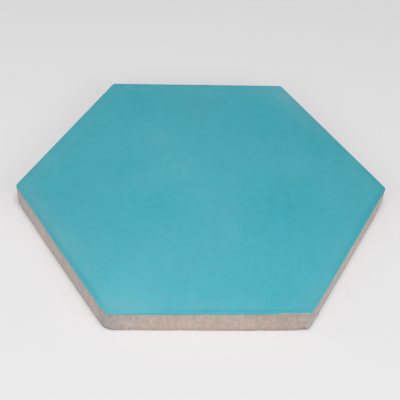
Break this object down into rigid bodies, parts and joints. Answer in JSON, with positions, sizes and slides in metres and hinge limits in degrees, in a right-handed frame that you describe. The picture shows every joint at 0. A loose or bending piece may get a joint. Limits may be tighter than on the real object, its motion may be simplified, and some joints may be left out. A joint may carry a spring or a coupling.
{
  "type": "hexagon cement tile",
  "caption": "Flat hexagonal floor tile pressed from cement, with a smooth turquoise wearing face and bare cement sides and bed.",
  "frame": {"origin": "middle of the bed face, the side that the tile lies on", "axes": "+Z out of the wearing face, +X through a pair of opposite corners, +Y out of one of the six edges"},
  "size_m": [0.23, 0.2, 0.016],
  "materials": {
    "pigmented_cement": "matte"
  },
  "bodies": {
    "root": {"hexagon_tile": "pigmented_cement"}
  },
  "joints": []
}
